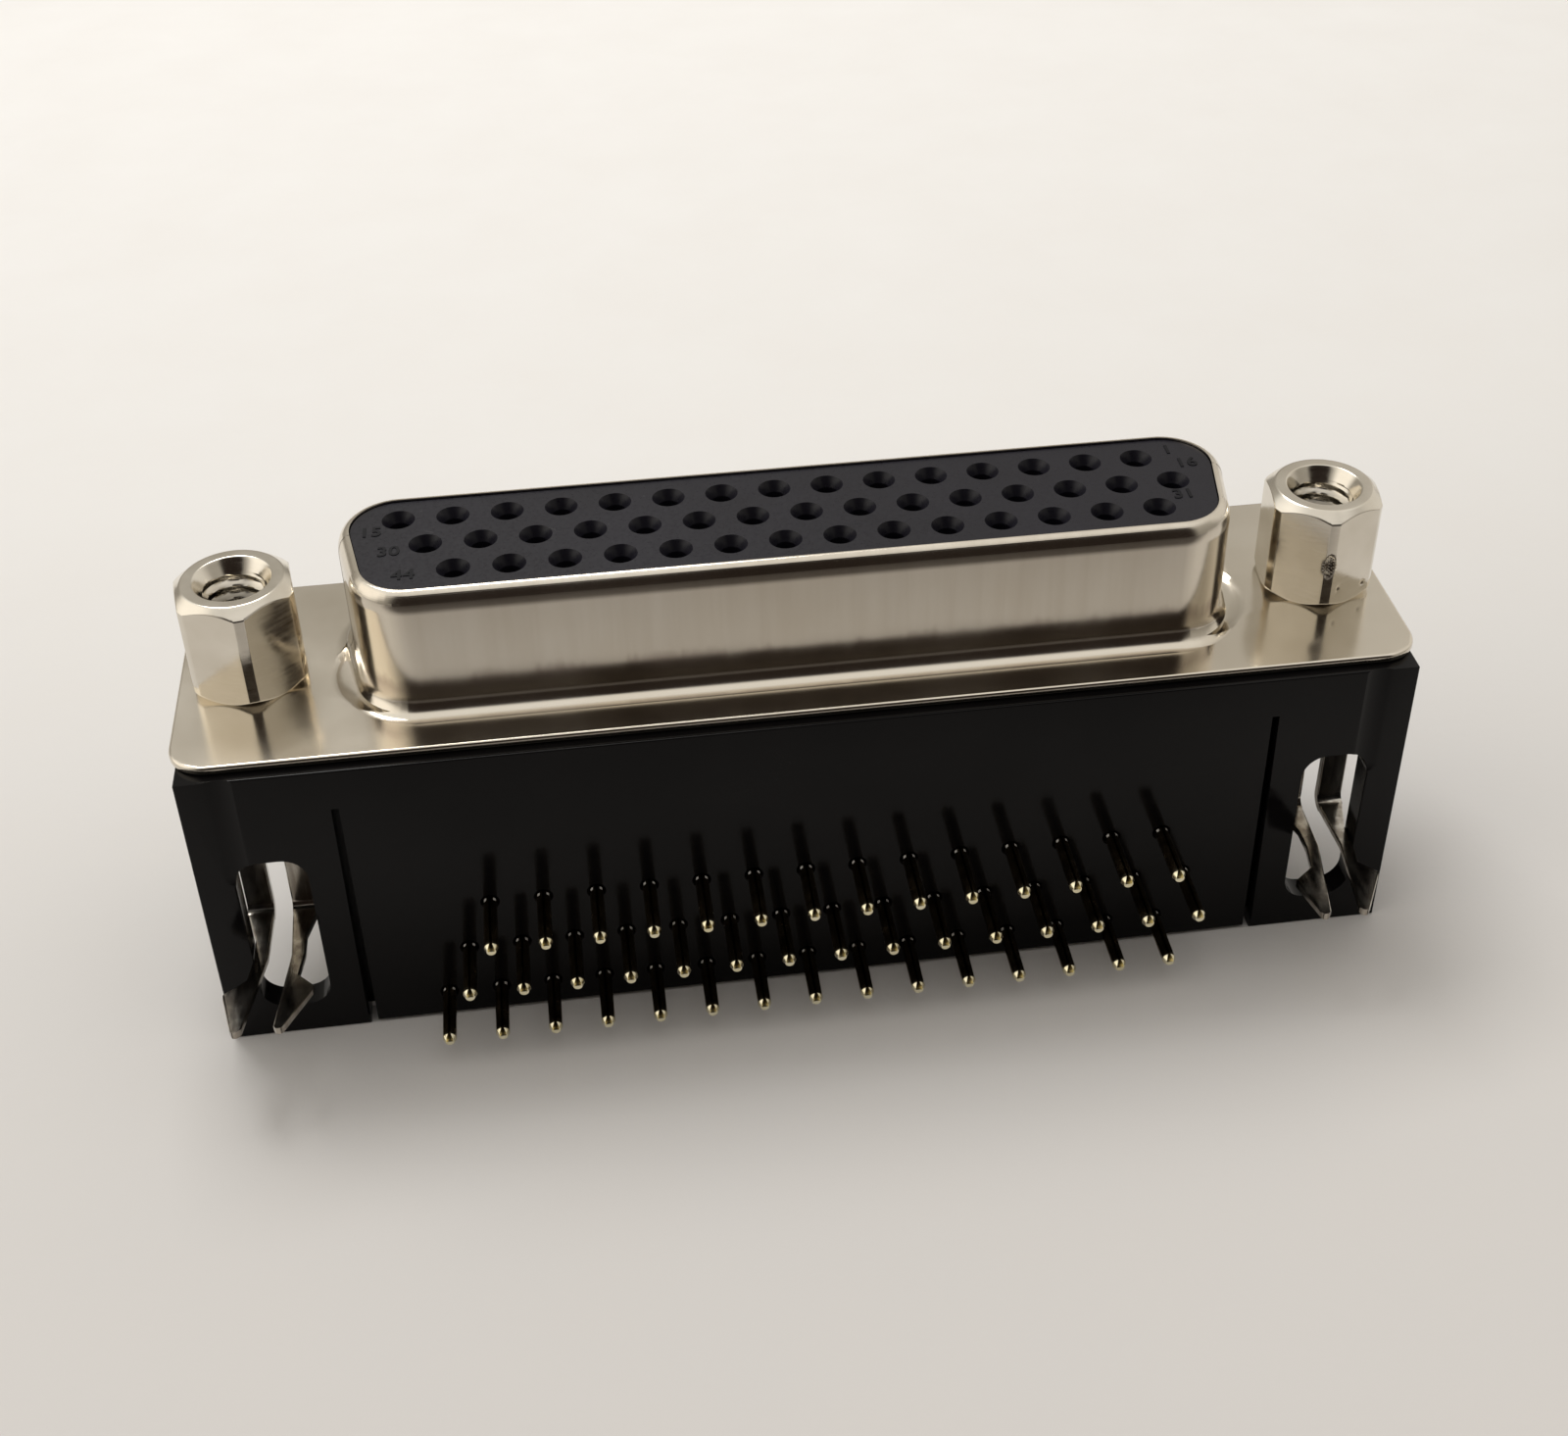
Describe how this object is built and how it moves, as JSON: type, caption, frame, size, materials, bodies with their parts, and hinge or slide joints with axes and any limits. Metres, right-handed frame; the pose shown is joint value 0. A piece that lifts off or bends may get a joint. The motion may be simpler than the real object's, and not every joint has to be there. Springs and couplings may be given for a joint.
{
  "type": "right-angle d-sub connector",
  "caption": "Right-angle high-density D-sub socket connector with board locks and hexagonal screwlocks, for a circuit board edge.",
  "frame": {"origin": "where the axis of the D crosses the plane of the rear ends of the two feet", "axes": "+Z is the mating direction, +X runs along the shell to the right seen from the board side, -Y points to the circuit board"},
  "size_m": [0.053, 0.0173, 0.0209],
  "materials": {
    "shell": "satin nickel over drawn steel sheet",
    "insulator": "satin black glass-filled plastic",
    "housing": "glossy black moulded plastic",
    "hardware": "turned brass, bright nickel plated",
    "board_lock": "tin plated spring brass strip",
    "contact": "rolled copper alloy, gold flash"
  },
  "bodies": {
    "root": {"front_shell": "shell", "front_insulator": "insulator", "rear_insulator": "insulator", "housing": "housing", "tail_plate": "housing", "screwlock_left": "hardware", "screwlock_right": "hardware", "clinch_nut_left": "hardware", "clinch_nut_right": "hardware", "board_lock_left": "board_lock", "board_lock_right": "board_lock", "contact_01": "contact", "contact_02": "contact", "contact_03": "contact", "contact_04": "contact", "contact_05": "contact", "contact_06": "contact", "contact_07": "contact", "contact_08": "contact", "contact_09": "contact", "contact_10": "contact", "contact_11": "contact", "contact_12": "contact", "contact_13": "contact", "contact_14": "contact", "contact_15": "contact", "contact_16": "contact", "contact_17": "contact", "contact_18": "contact", "contact_19": "contact", "contact_20": "contact", "contact_21": "contact", "contact_22": "contact", "contact_23": "contact", "contact_24": "contact", "contact_25": "contact", "contact_26": "contact", "contact_27": "contact", "contact_28": "contact", "contact_29": "contact", "contact_30": "contact", "contact_31": "contact", "contact_32": "contact", "contact_33": "contact", "contact_34": "contact", "contact_35": "contact", "contact_36": "contact", "contact_37": "contact", "contact_38": "contact", "contact_39": "contact", "contact_40": "contact", "contact_41": "contact", "contact_42": "contact", "contact_43": "contact", "contact_44": "contact"}
  },
  "joints": []
}
